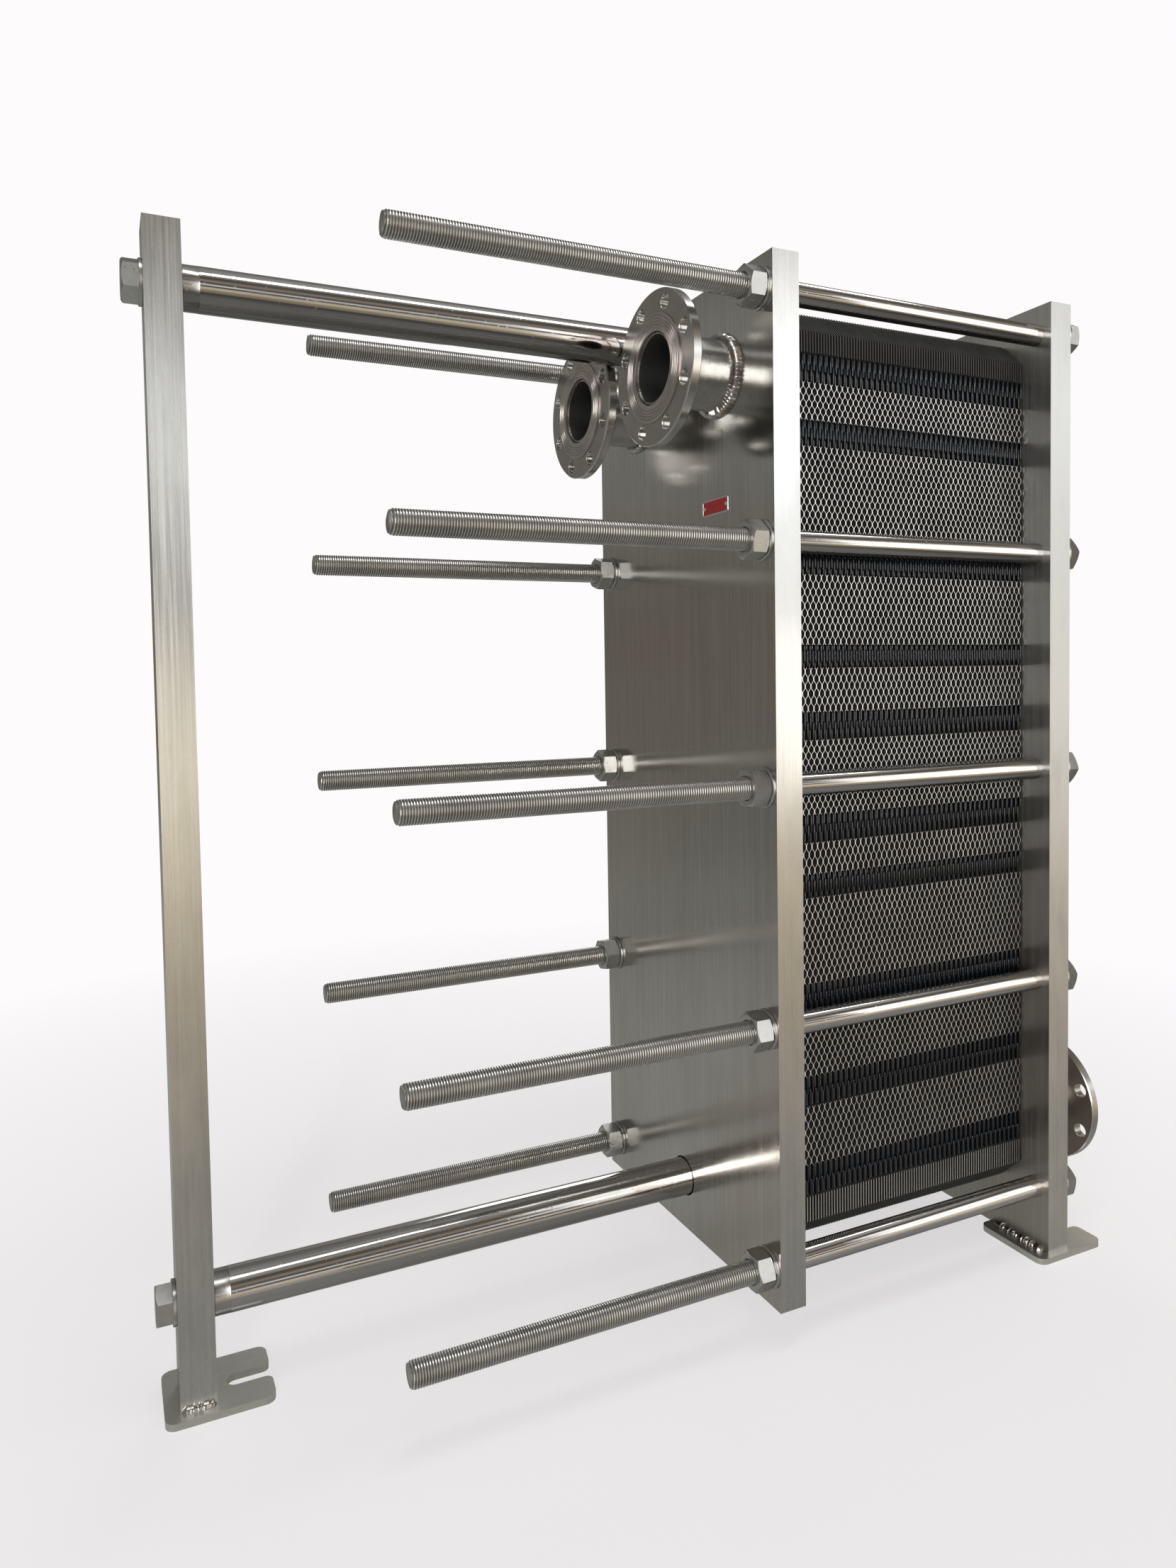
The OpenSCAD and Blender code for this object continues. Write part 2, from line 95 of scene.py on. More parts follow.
class Nodes:
    """Shader nodes, added one by one to a material or to the surround."""

    def __init__(self, tree, place="Object"):
        self.tree = tree
        self.place = self.add("ShaderNodeTexCoord", {}, {}, out=place)

    def add(self, kind, settings, sockets, out=0):
        """Adds a node, sets it up, feeds its sockets and gives back one of its outputs."""
        node = self.tree.nodes.new(kind)
        for setting, value in settings.items():
            if setting == "stops":
                while len(node.color_ramp.elements) < len(value):
                    node.color_ramp.elements.new(1.0)
                for element, (at, shade) in zip(node.color_ramp.elements, value):
                    element.position = at
                    element.color = (*shade, 1.0)
            else:
                setattr(node, setting, value)
        for socket, value in sockets.items():
            self.feed(node.inputs[socket], value)
        return Wire(self, node.outputs[out])

    def feed(self, socket, value):
        if isinstance(value, Wire):
            self.tree.links.new(value.socket, socket)
        else:
            socket.default_value = value

    def noise(self, stretch, detail, roughness):
        """Noise between 0 and 1 with this many waves to the metre along X, Y and Z."""
        spread = self.add("ShaderNodeVectorMath", {"operation": "MULTIPLY"},
                          {0: self.place, 1: stretch})
        return self.add("ShaderNodeTexNoise", {},
                        {"Vector": spread, "Scale": 1.0, "Detail": detail, "Roughness": roughness})

    def axis(self, name):
        """One coordinate of the place, in metres on an object."""
        return self.add("ShaderNodeSeparateXYZ", {}, {0: self.place}, out=name)

    def leaning(self, name):
        """How far a face looks along one axis, from -1 to 1."""
        normal = self.add("ShaderNodeTexCoord", {}, {}, out="Normal")
        return self.add("ShaderNodeSeparateXYZ", {}, {0: normal}, out=name)

    def fade(self, value, low, high, start=0.0, end=1.0):
        """Runs from start to end as value runs from low to high."""
        return self.add("ShaderNodeMapRange", {},
                        {0: value, 1: low, 2: high, 3: start, 4: end})

    def mix(self, factor, first, second):
        return self.add("ShaderNodeMix", {"data_type": "RGBA"},
                        {0: factor, 6: first, 7: second}, out=2)

    def bump(self, height, depth, strength):
        """A bump of this depth in metres, for the shader's Normal."""
        return self.add("ShaderNodeBump", {},
                        {"Height": height, "Distance": depth, "Strength": strength})


class Finish(Nodes):
    """A material whose steady values are set first."""

    def __init__(self, name, steady):
        self.material = bpy.data.materials.new(name)
        self.material.use_nodes = True
        super().__init__(self.material.node_tree)
        self.shader = self.tree.nodes["Principled BSDF"]
        for socket, value in steady.items():
            self.shader.inputs[socket].default_value = value

    def paint(self, **inputs):
        """Feeds the shader: base_color=, roughness=, metallic=, normal= and so on."""
        for name, value in inputs.items():
            self.feed(self.shader.inputs[name.replace("_", " ").title()], value)


def ground_plate(name, face_shade, side_shade, polish, smudge):
    """Belt-ground stainless with an upright grain, dressed sides, and painted reflection in warm
    patches on the broad faces.
    """
    finish = Finish(name, {"Metallic": 1.0, "Anisotropic": 0.65})
    streak = finish.noise((420, 420, 5), 4.0, 0.7)
    hair = finish.noise((2600, 2600, 30), 2.0, 0.6)
    cloud = finish.noise((5, 5, 2.2), 3.0, 0.5)
    blotch = finish.noise((26, 26, 9), 4.0, 0.65)
    side = abs(finish.leaning("Y")) > 0.7
    worn = finish.fade(cloud + blotch * 0.5, 0.66, 0.98)
    shade = finish.mix(side, (*face_shade, 1), (*side_shade, 1))
    dull = finish.mix(worn * smudge, shade, (*[c * 0.5 for c in face_shade], 1))
    # Painted reflection: warm brown cloudy patches on the broad faces, not the sides, stand in for
    # the surroundings mirrored in the steel.
    tint = finish.fade(finish.noise((2.4, 2.4, 1.3), 2.0, 0.4), 0.42, 0.64, 0.0, 0.55)
    painted_reflection_cast = finish.mix(tint * (1 - side), dull, (0.54, 0.46, 0.40, 1))
    shade = finish.mix(finish.fade(streak, 0.35, 0.7, 0.0, 0.3), painted_reflection_cast, (0.86, 0.86, 0.84, 1))
    gloss = polish + (streak - 0.5) * 0.22 + (cloud - 0.5) * 0.12 + side * 0.1
    grain = streak * 0.6 + hair * 0.4
    finish.paint(base_color=shade, roughness=gloss, normal=finish.bump(grain, 0.00006, 0.6))
    return finish.material


def break_edges(node, width):
    """Files the sharp edges of a carried-over node."""
    bevel = nodes[node].modifiers.new("broken edges", "BEVEL")
    bevel.width = width
    bevel.segments = 2
    bevel.limit_method = "ANGLE"
    bevel.angle_limit = math.radians(35)
    bevel.harden_normals = False


def dress(node, material):
    """Gives a carried-over node its finish."""
    for slot in nodes[node].material_slots:
        slot.material = material


plate_steel = ground_plate("ground_plate_steel", (0.50, 0.49, 0.46), (0.76, 0.765, 0.75), 0.17,
                           0.3)
column_steel = ground_plate("ground_bar_steel", (0.64, 0.64, 0.61), (0.82, 0.82, 0.78), 0.17,
                            0.45)
duller_steel = ground_plate("ground_frame_steel", (0.52, 0.515, 0.49), (0.76, 0.765, 0.75), 0.36,
                            0.5)
for node, material, width in (("fixed_plate", duller_steel, 0.0012),
                              ("pressure_plate", plate_steel, 0.0012),
                              ("column", column_steel, 0.0022)):
    dress(node, material)
    break_edges(node, width)


# ---- Feet ----
# Three plates 8 mm thick with round corners and an open slot, rounded at its mouth, for the
# floor anchor. They are left in the grey mill finish and fillet-welded under the frame.

def mill_plate():
    """Grey rolled finish with rubbed patches and fine pits."""
    finish = Finish("mill_steel", {"Metallic": 1.0})
    cloud = finish.noise((18, 18, 18), 5.0, 0.6)
    pit = finish.noise((900, 900, 900), 2.0, 0.5)
    scuff = finish.noise((40, 600, 40), 3.0, 0.6)
    rubbed = finish.fade(scuff * 0.6 + cloud * 0.6, 0.55, 0.8)
    shade = finish.mix(rubbed, (0.74, 0.75, 0.71, 1), (0.90, 0.905, 0.88, 1))
    finish.paint(base_color=shade, roughness=0.42 - rubbed * 0.12,
                 normal=finish.bump(pit * 0.7 + scuff * 0.3, 0.00008, 0.5))
    return finish.material


mill_steel = mill_plate()
for node in ("fixed_feet", "column_foot"):
    dress(node, mill_steel)
    break_edges(node, 0.0014)


# ---- Bars ----
# Two round bars of 48 mm drawn and polished stainless. The end at the column is turned down for
# a short length, and both ends are tapped for the bolts that draw them against the frame.

def make(name, points, faces, kinds, materials, body, stands_for, smooth):
    """Makes a piece from points in metres and puts it on its body."""
    mesh = bpy.data.meshes.new(name)
    mesh.from_pydata([tuple(p) for p in points], [], [tuple(f) for f in faces])
    for material in materials:
        mesh.materials.append(material)
    mesh.polygons.foreach_set("use_smooth", [smooth] * len(mesh.polygons))
    mesh.polygons.foreach_set("material_index", kinds)
    mesh.update()
    piece = bpy.data.objects.new(name, mesh)
    bpy.context.scene.collection.objects.link(piece)
    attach(piece, body)
    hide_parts(*stands_for)
    return piece


def middle(node):
    """y and z of the middle of a carried-over node."""
    low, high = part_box(node)
    return (low.y + high.y) / 2, (low.z + high.z) / 2


def grid(rows, steps, order, closed=False, ring=True):
    """Faces that join rows of points, steps to a row, with their corners in this order."""
    faces = []
    for i in range(rows if closed else rows - 1):
        here, there = i * steps, (i + 1) % rows * steps
        for k in range(steps if ring else steps - 1):
            m = (k + 1) % steps
            corners = here + k, here + m, there + m, there + k
            faces.append([corners[c] for c in order])
    return faces


class Shape:
    """Points and faces gathered from several parts of one piece."""

    def __init__(self):
        self.points = []
        self.faces = []
        self.kinds = []
        self.count = 0

    def add(self, points, faces, kind=0):
        self.points.extend(points)
        self.faces.extend([[i + self.count for i in face] for face in faces])
        self.kinds.extend([kind] * len(faces))
        self.count += len(points)

    def turned(self, profile, y, z, steps=64, kind=0, closed=False):
        """Turns a profile of (x, radius) points about the axis through y, z along X.
        Drawn with the metal on its right-hand side as x grows, it faces outward."""
        angle = np.arange(steps) * 2 * math.pi / steps
        points = [(x, y + r * math.cos(a), z + r * math.sin(a)) for x, r in profile for a in angle]
        self.add(points, grid(len(profile), steps, (1, 2, 3, 0), closed), kind)

    def make(self, name, materials, body, slot, stands_for, sharp=35.0):
        """Makes the piece, with a crease where faces meet at more than sharp degrees."""
        piece = make(name, self.points, self.faces, self.kinds, materials, body,
                     stands_for, True)
        piece.data.set_sharp_from_angle(angle=math.radians(sharp))


def polished(name, shade, gloss, lay):
    """Bright drawn bar: faint draw lines, handling marks, dried splashes, and painted shade
    darkening the underside.
    """
    finish = Finish(name, {"Metallic": 1.0})
    line = finish.noise(lay, 3.0, 0.6)
    smear = finish.noise((12, 40, 40), 4.0, 0.6)
    splash = finish.noise((260, 260, 260), 1.0, 0.3)
    drop = finish.fade(splash, 0.70, 0.74)
    tone = finish.mix(finish.fade(smear, 0.45, 0.75, 0.0, 0.35), (*shade, 1),
                      (*[c * 0.78 for c in shade], 1))
    # Painted shade: faces that look downward are darkened towards near black, as the shade under
    # the bar.
    under = finish.fade(finish.leaning("Z") * -1, 0.1, 0.9, 0.0, 0.75)
    rough = gloss + line * 0.07 + finish.fade(smear, 0.4, 0.8, 0.0, 0.1) + drop * 0.15
    finish.paint(base_color=finish.mix(under, tone, (0.07, 0.068, 0.06, 1)), roughness=rough,
                 normal=finish.bump(line * 0.5 + drop, 0.00003, 0.5))
    return finish.material


bar_steel = polished("polished_bar", (0.66, 0.65, 0.63), 0.05, (6, 700, 700))
turned_ring = polished("turned_bar_end", (0.56, 0.55, 0.53), 0.16, (1500, 30, 30))
collar = 0.017                  # length turned down at the column
relief = 0.0002                 # how far it is turned down
bar_chamfer = 0.001
tapped_r = 0.0136
for node in ("carrying_bar", "guide_bar"):
    low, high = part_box(node)
    z = middle(node)[1]
    radius = (high.z - low.z) / 2
    shoulder = low.x + collar + 0.0005
    bar = Shape()
    bar.turned([(low.x, tapped_r), (low.x, radius - bar_chamfer),
                (low.x + bar_chamfer, radius - relief), (low.x + collar, radius - relief),
                (shoulder, radius)], 0.0, z, 96, 1)
    bar.turned([(shoulder, radius), (high.x - bar_chamfer, radius),
                (high.x, radius - bar_chamfer), (high.x, tapped_r)], 0.0, z, 96, 0)
    bar.make(node + ".drawn", [bar_steel, turned_ring], "frame", "polished_steel", [node])


# ---- Hex bolts, nuts and washers ----
# Stainless M27 hexes of 41 mm across flats, forged and turned, with the 30 degree chamfer that
# scallops each flat. The nuts on the pressure plate each turn on their own tie bolt.

hex_flats = 0.041
hex_crown = 0.965               # the turned crown's share of the width across flats
bore_sink = 0.0012              # countersink at a nut's bore
bolt_r = 0.0135
washer_r = 0.024
washer_gap = 0.0008             # round the bolt
hair_gap = 0.0001               # keeps two faces from lying in one


def forged():
    """Turned and lightly blasted stainless with bright corners and spanner marks."""
    finish = Finish("forged_hex_steel", {"Metallic": 1.0})
    grit = finish.noise((1400, 1400, 1400), 3.0, 0.6)
    cloud = finish.noise((90, 90, 90), 4.0, 0.6)
    nick = finish.fade(finish.noise((320, 320, 320), 1.0, 0.4), 0.68, 0.74)
    shade = finish.mix(cloud, (0.46, 0.46, 0.44, 1), (0.64, 0.64, 0.62, 1))
    finish.paint(base_color=shade, roughness=0.27 + grit * 0.1 - nick * 0.1,
                 normal=finish.bump(grit * 0.5 - nick, 0.00008, 0.5))
    return finish.material


hex_steel = forged()


def hexagon(shape, x, y, z, height, way, hole, both, tilt, kind=0):
    """A chamfered hexagon that stands on x and grows the way given along X."""
    steps = 72
    corner = hex_flats / math.sqrt(3)
    crown = hex_flats / 2 * hex_crown
    angle = np.arange(steps) * 2 * math.pi / steps + math.radians(tilt)
    reach = hex_flats / 2 / np.cos((angle - math.radians(tilt)) % (math.pi / 3) - math.pi / 6)
    drop = np.clip(reach - crown, 0, None) * math.tan(math.radians(30))
    bottom = drop if both else drop * 0
    mouth = hole + bore_sink if hole else 0.0

    def level(up, r):
        return np.full(steps, up), np.full(steps, r)

    rings = [level(0.0, mouth), level(0.0, crown if both else corner * 0.86), (bottom, reach),
             (height - drop, reach), level(height, crown), level(height, mouth)]
    if hole:
        rings = [level(bore_sink, hole), *rings, level(height - bore_sink, hole)]
    points = [(x + way * u, y + s * math.cos(a), z + s * math.sin(a))
              for up, r in rings for u, s, a in zip(up, r, angle)]
    order = (0, 1, 2, 3) if way < 0 else (3, 2, 1, 0)
    shape.add(points, grid(len(rings), steps, order, closed=hole > 0), kind)


def washer(shape, x0, x1, y, z):
    """A flat ring with its outer edges rolled over."""
    roll = 0.0006
    bore, r = bolt_r + washer_gap, washer_r
    shape.turned([(x0, bore), (x0, r - roll), (x0 + roll, r), (x1 - roll, r), (x1, r - roll),
                  (x1, bore)], y, z, 64, closed=True)


def bolt_places():
    """(side, row, y, z) of each tie bolt, from its nut."""
    for side in ("near", "far"):
        for row in range(1, 6):
            yield side, row, *middle(f"nut_{side}_{row}")


random.seed(27)
for side, row, y, z in bolt_places():
    low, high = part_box(f"nut_{side}_{row}")
    nut = Shape()
    hexagon(nut, high.x, y, z, high.x - low.x, -1, bolt_r + hair_gap, True, random.uniform(0, 60))
    nut.make(f"nut_{side}_{row}.turned", [hex_steel], f"nut_{side}_{row}", "machined_steel",
             [f"nut_{side}_{row}"], sharp=20.0)

for node, body in (("nut_washers", "pressure_plate"), ("tie_bolt_washers", "frame")):
    low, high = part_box(node)
    rings = Shape()
    for *_, y, z in bolt_places():
        washer(rings, low.x, high.x, y, z)
    rings.make(node + ".rolled", [hex_steel], body, "machined_steel", [node])

for bolts, washers, way in (("column_bolts", "column_washers", -1),
                            ("bar_end_bolts", "bar_end_washers", 1)):
    low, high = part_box(bolts)
    ring_low, ring_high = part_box(washers)
    heads, rings = Shape(), Shape()
    foot = ring_low.x if way < 0 else ring_high.x
    tip = high.x if way < 0 else low.x
    head = abs((low.x if way < 0 else high.x) - foot)
    for bar in ("carrying_bar", "guide_bar"):
        z = middle(bar)[1]
        hexagon(heads, foot, 0.0, z, head, way, 0.0, False, 30 if way < 0 else 12)
        shank = [(foot, bolt_r), (tip, bolt_r), (tip, 0.0)]
        heads.turned(shank if way > 0 else shank[::-1], 0.0, z, 32)
        washer(rings, ring_low.x, ring_high.x, 0.0, z)
    heads.make(bolts + ".forged", [hex_steel], "frame", "machined_steel", [bolts], sharp=20.0)
    rings.make(washers + ".rolled", [hex_steel], "frame", "machined_steel", [washers])


# ---- Tie bolts ----
# Ten stainless bolts, each with a forged head behind the fixed plate, a polished plain shank
# beside the pack, and a long rolled M27 x 3 thread that runs out through the pressure plate.

def rolled_thread(name, shade, gloss):
    """Rolled thread with a trace of grease; pale for the crests as painted highlight, darker for
    the flanks as painted shade.
    """
    finish = Finish(name, {"Metallic": 1.0})
    smear = finish.noise((14, 50, 50), 3.0, 0.5)
    grit = finish.noise((1800, 1800, 1800), 2.0, 0.5)
    tone = finish.mix(finish.fade(smear, 0.4, 0.7), (*shade, 1), (*[c * 0.82 for c in shade], 1))
    finish.paint(base_color=tone, roughness=gloss + smear * 0.1,
                 normal=finish.bump(grit, 0.00003, 0.4))
    return finish.material


thread_lead = 0.003
core_r = 0.0116
root_r = 0.0118
crest_r = 0.01342


def screw(shape, x0, x1, y, z, turn, crest, flank):
    """A right-hand thread from its chamfered tip at x0 to x1, as one helical surface."""
    steps = 24
    form = ((0.0, root_r), (0.34, crest_r), (0.62, crest_r))
    turns = int(round((x1 - x0) / thread_lead))
    rows = [(k + at, r) for k in range(turns) for at, r in form]
    points, faces, kinds = [], [], []
    for at, r in rows:
        for k in range(steps):
            lead = at + k / steps
            x = x0 + min(max(lead - 1.0, 0.0) * thread_lead, x1 - x0)
            ease = min(1.0, 0.84 + 0.16 * max(lead - 0.6, 0.0) / 1.6)
            a = turn - 2 * math.pi * k / steps
            points.append((x, y + r * ease * math.cos(a), z + r * ease * math.sin(a)))
    n = len(form)
    for i in range(len(rows) - 1):
        for k in range(steps):
            here, there = i * steps + k, (i + 1) * steps + k
            if k + 1 < steps:
                faces.append([here, here + 1, there + 1, there])
            elif i + 1 + n < len(rows):
                faces.append([here, (i + n) * steps, (i + 1 + n) * steps, there])
            else:
                continue
            kinds.append(crest if i % n == 1 else flank)
    shape.add(points, faces)
    shape.kinds[-len(faces):] = kinds


# Painted highlight on the thread crests and painted shade on the slightly rougher flanks: near
# white against mid grey.
crest_painted_highlight_steel = rolled_thread("thread_crest_painted_highlight", (0.95, 0.94, 0.91), 0.26)
flank_painted_shade_steel = rolled_thread("thread_flank_painted_shade", (0.50, 0.49, 0.47), 0.34)
shank_steel = polished("polished_shank", (0.78, 0.765, 0.74), 0.06, (8, 900, 900))
cut_end = polished("sawn_bolt_end", (0.52, 0.53, 0.50), 0.3, (30, 500, 30))
low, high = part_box("tie_bolts")
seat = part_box("tie_bolt_washers")[1].x
thread_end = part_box("pressure_plate")[1].x - 0.012
runout = 0.004                  # where the thread runs out into the shank
tip_r, tip_run = 0.0105, 0.0012
for side, row, y, z in bolt_places():
    bolt = Shape()
    screw(bolt, low.x, thread_end, y, z, random.uniform(0, 6.28), 0, 4)
    tip = low.x + hair_gap
    bolt.turned([(tip, 0.0), (tip, tip_r), (low.x + tip_run, core_r)], y, z, 24, 2)
    bolt.turned([(thread_end - runout, core_r), (thread_end, bolt_r), (seat, bolt_r)], y, z, 64, 1)
    hexagon(bolt, seat, y, z, high.x - seat, 1, 0.0, False, random.uniform(0, 60), 3)
    bolt.make(f"tie_bolt_{side}_{row}",
              [crest_painted_highlight_steel, shank_steel, cut_end, hex_steel, flank_painted_shade_steel], "frame",
              "polished_steel", ["tie_bolts"], sharp=50.0)


# ---- Flanges and nozzle pipes ----
# Slip-on flanges turned from stainless plate, eight 18 mm holes astride the centre lines, the
# raised face cut with sealing grooves. Each sits on a rolled pipe that passes through the plate.

def turned_face(name, y, z, shade, gloss, depth):
    """Lathe-turned steel: rings about the nozzle's own axis."""
    finish = Finish(name, {"Metallic": 1.0})
    from_axis = finish.add("ShaderNodeVectorMath", {"operation": "SUBTRACT"},
                           {0: finish.place, 1: (0.0, y, z)})
    flat = finish.add("ShaderNodeVectorMath", {"operation": "MULTIPLY"},
                      {0: from_axis, 1: (0.0, 1.0, 1.0)})
    radius = finish.add("ShaderNodeVectorMath", {"operation": "LENGTH"}, {0: flat}, out="Value")
    along = finish.axis("X")
    ring = finish.add("ShaderNodeTexNoise", {"noise_dimensions": "1D"},
                      {"W": radius * 2600 + along * 1700, "Scale": 1.0, "Detail": 2.0})
    cloud = finish.noise((30, 30, 30), 4.0, 0.6)
    tone = finish.mix(finish.fade(cloud * 0.7 + ring * 0.3, 0.3, 0.7), (*shade, 1),
                      (*[c * 0.8 for c in shade], 1))
    finish.paint(base_color=tone, roughness=gloss + ring * 0.12 + cloud * 0.06,
                 normal=finish.bump(ring, depth, 0.5))
    return finish.material


def circle(y, z, r, steps):
    """(y, z) points round a circle."""
    return [(y + r * math.cos(a), z + r * math.sin(a))
            for a in np.arange(steps) * 2 * math.pi / steps]


def ring_face(shape, x, y, z, r_in, r_out, holes, hole_r, looks):
    """A flat ring at x, pierced by bolt holes, that looks along looks * X."""
    loops = [circle(0.0, 0.0, r_out, 96), circle(0.0, 0.0, r_in, 96)]
    loops += [circle(cy, cz, hole_r, hole_steps) for cy, cz in holes]
    flat = [p for loop in loops for p in loop]
    edges, start = [], 0
    for loop in loops:
        edges += [(start + i, start + (i + 1) % len(loop)) for i in range(len(loop))]
        start += len(loop)
    made, _, faces, *_ = delaunay_2d_cdt(flat, edges, [], 0, 1e-7)
    kept = []
    for face in faces:
        cy, cz = (sum(made[i][k] for i in face) / len(face) for k in (0, 1))
        away = math.hypot(cy, cz)
        if r_in < away < r_out and all(math.hypot(cy - a, cz - b) > hole_r for a, b in holes):
            kept.append(list(face) if looks > 0 else list(face)[::-1])
    shape.add([(x, y + p[0], z + p[1]) for p in made], kept)


pipe_r = 0.042
pipe_bore = 0.039
weld_land = 0.005               # how far the pipe stops short of the flange's face
raised_r = 0.063
raised_step = 0.002
stud_r = 0.009                  # radius of a bolt hole
stud_lip = 0.0004               # what its chamfer adds
hole_steps = 28
break_off = 0.0012              # chamfer on the rim
groove_radii = (0.0592, 0.0558, 0.0524, 0.0490)
groove_half = 0.0007
groove_floor = 0.0003           # half the width of its flat floor
groove_depth = 0.0008


def flange(name, node, body, way):
    """A flange whose face looks along way * X."""
    low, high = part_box(node)
    y, z = middle(node)
    r = (high.z - low.z) / 2
    face = high.x if way > 0 else low.x
    back = low.x if way > 0 else high.x
    step = face - way * raised_step
    stud_ring = frame["record"]["mounts"][0]["dims"]["pcd_mm"] / 2000
    holes = [(stud_ring * math.cos(a), stud_ring * math.sin(a))
             for a in (np.arange(8) + 0.5) * math.pi / 4]
    rough = turned_face(name + "_face", y, z, (0.47, 0.44, 0.41), 0.22, 0.00004)
    rim = turned_face(name + "_rim", y, z, (0.68, 0.67, 0.64), 0.14, 0.00003)
    grooved = turned_face(name + "_raised_face", y, z, (0.56, 0.51, 0.48), 0.2, 0.00006)
    disc = Shape()

    def rings(profile, kind):
        disc.turned(profile if way > 0 else profile[::-1], y, z, 128, kind)

    mouth, bore = stud_r + stud_lip, pipe_r + hair_gap
    groove_x = face - way * groove_depth
    ring_face(disc, step, y, z, raised_r, r - break_off, holes, mouth, way)
    ring_face(disc, back, y, z, bore, r - break_off, holes, mouth, -way)
    rings([(back, r - break_off), (back + way * break_off, r), (step - way * break_off, r),
           (step, r - break_off)], 1)
    grooves = [(step, raised_r), (face - way * 0.0004, raised_r), (face, raised_r - 0.0004)]
    for at in groove_radii:
        grooves += [(face, at + groove_half), (groove_x, at + groove_floor),
                    (groove_x, at - groove_floor), (face, at - groove_half)]
    grooves += [(face, pipe_r + 0.0008), (face - way * 0.0007, bore), (back, bore)]
    rings(grooves, 2)
    for cy, cz in holes:
        wall = [(back, mouth), (back + way * 0.0006, stud_r), (step - way * 0.0006, stud_r),
                (step, mouth)]
        disc.turned(wall[::-1] if way > 0 else wall, y + cy, z + cz, hole_steps, 1)
    disc.make(name, [rough, rim, grooved], body, "machined_steel", [node], sharp=25.0)
    return y, z


def pipe(name, node, body, y, z):
    """A rolled pipe, belt-finished round its girth."""
    low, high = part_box(node)
    outside = turned_face(name + "_steel", y, z, (0.58, 0.57, 0.55), 0.2, 0.00005)
    inside = turned_face(name + "_bore_steel", y, z, (0.30, 0.30, 0.30), 0.34, 0.0001)
    tube = Shape()
    tube.turned([(low.x, pipe_bore), (low.x, pipe_r), (high.x, pipe_r), (high.x, pipe_bore)],
                y, z, 96, 0)
    tube.turned([(high.x, pipe_bore), (low.x, pipe_bore)], y, z, 96, 1)
    tube.make(name, [outside, inside], body, "mill_steel", [node])


nozzles = []
for plate, body, way in (("pressure", "pressure_plate", -1), ("fixed", "frame", 1)):
    for side in ("near", "far"):
        y, z = flange(f"{plate}_flange_{side}.turned", f"{plate}_flange_{side}", body, way)
        pipe(f"{plate}_pipe_{side}.rolled", f"{plate}_pipe_{side}", body, y, z)
        nozzles.append((plate, way, y, z))


# ---- Welds ----
# Hand-laid TIG beads in overlapping scales: round each nozzle on the plate, behind the flange
# and in its mouth, and along the feet. Patches of the weld metal keep a brown heat tint.

def bead_steel():
    """Weld metal: bright scales between dull, tinted hollows."""
    finish = Finish("weld_bead_steel", {"Metallic": 1.0})
    scale = finish.noise((260, 260, 260), 3.0, 0.6)
    tint = finish.noise((45, 45, 45), 2.0, 0.5)
    shade = finish.mix(finish.fade(tint, 0.4, 0.65), (0.60, 0.59, 0.57, 1), (0.38, 0.31, 0.27, 1))
    finish.paint(base_color=shade, roughness=0.16 + scale * 0.16,
                 normal=finish.bump(scale, 0.0002, 0.6))
    return finish.material


per_scale = 4                   # steps along one scale of a bead


def scale_height(k, wander):
    """How far a bead swells at step k: a saw-tooth of overlapping scales."""
    return 0.72 + 0.28 * (1 - (k % per_scale) / per_scale) ** 0.6 + wander


def ring_bead(shape, x, y, z, r, leg, way):
    """A bead in the corner between a pipe of radius r and a plane at x, on the way side."""
    steps = int(2 * math.pi * r / 0.0042) * per_scale
    arc = 7
    points = []
    for k in range(steps):
        a = 2 * math.pi * k / steps
        size = leg * scale_height(k, random.uniform(-0.03, 0.03))
        for j in range(arc):
            t = math.pi / 2 * j / (arc - 1)
            up, out = size * math.sin(t) ** 0.9, size * math.cos(t) ** 0.9
            points.append((x + way * up, y + (r + out) * math.cos(a), z + (r + out) * math.sin(a)))
    order = (0, 3, 2, 1) if way > 0 else (1, 2, 3, 0)
    shape.add(points, grid(steps, arc, order, closed=True, ring=False))


def line_bead(shape, start, run, out, length, leg):
    """A bead in a corner: run and out are unit (x, y) pairs, the leg climbs along Z."""
    steps = int(length / 0.0045) * per_scale
    arc = 6
    points = []
    for k in range(steps + 1):
        end = min(1.0, 0.25 + 2.5 * min(k, steps - k) / (per_scale * 2.0))
        size = leg * scale_height(k, random.uniform(-0.11, 0.11)) * end
        for j in range(arc):
            t = math.pi / 2 * j / (arc - 1)
            d, up = size * math.cos(t) ** 0.9, size * math.sin(t) ** 0.9
            along = length * k / steps
            points.append((start[0] + run[0] * along + out[0] * d,
                           start[1] + run[1] * along + out[1] * d, start[2] + up))
    order = (0, 3, 2, 1) if run[0] * out[1] > run[1] * out[0] else (1, 2, 3, 0)
    shape.add(points, grid(steps + 1, arc, order, ring=False))


weld_steel = bead_steel()
plate_leg, back_leg, mouth_leg = 0.0088, 0.004, 0.003
random.seed(5)
for plate, body in (("pressure", "pressure_plate"), ("fixed", "frame")):
    beads = Shape()
    for its_plate, way, y, z in nozzles:
        if its_plate != plate:
            continue
        low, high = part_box(f"{plate}_welds")
        low_f, high_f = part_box(f"{plate}_flange_near")
        plane = high.x if way < 0 else low.x
        back = high_f.x if way < 0 else low_f.x
        face = low_f.x if way < 0 else high_f.x
        ring_bead(beads, plane, y, z, pipe_r, plate_leg, way)
        ring_bead(beads, back, y, z, pipe_r, back_leg, -way)
        ring_bead(beads, face - way * weld_land, y, z, pipe_bore + hair_gap, mouth_leg, way)
    beads.make(f"{plate}_welds.laid", [weld_steel], body, "weld_steel", [f"{plate}_welds"],
               sharp=60.0)

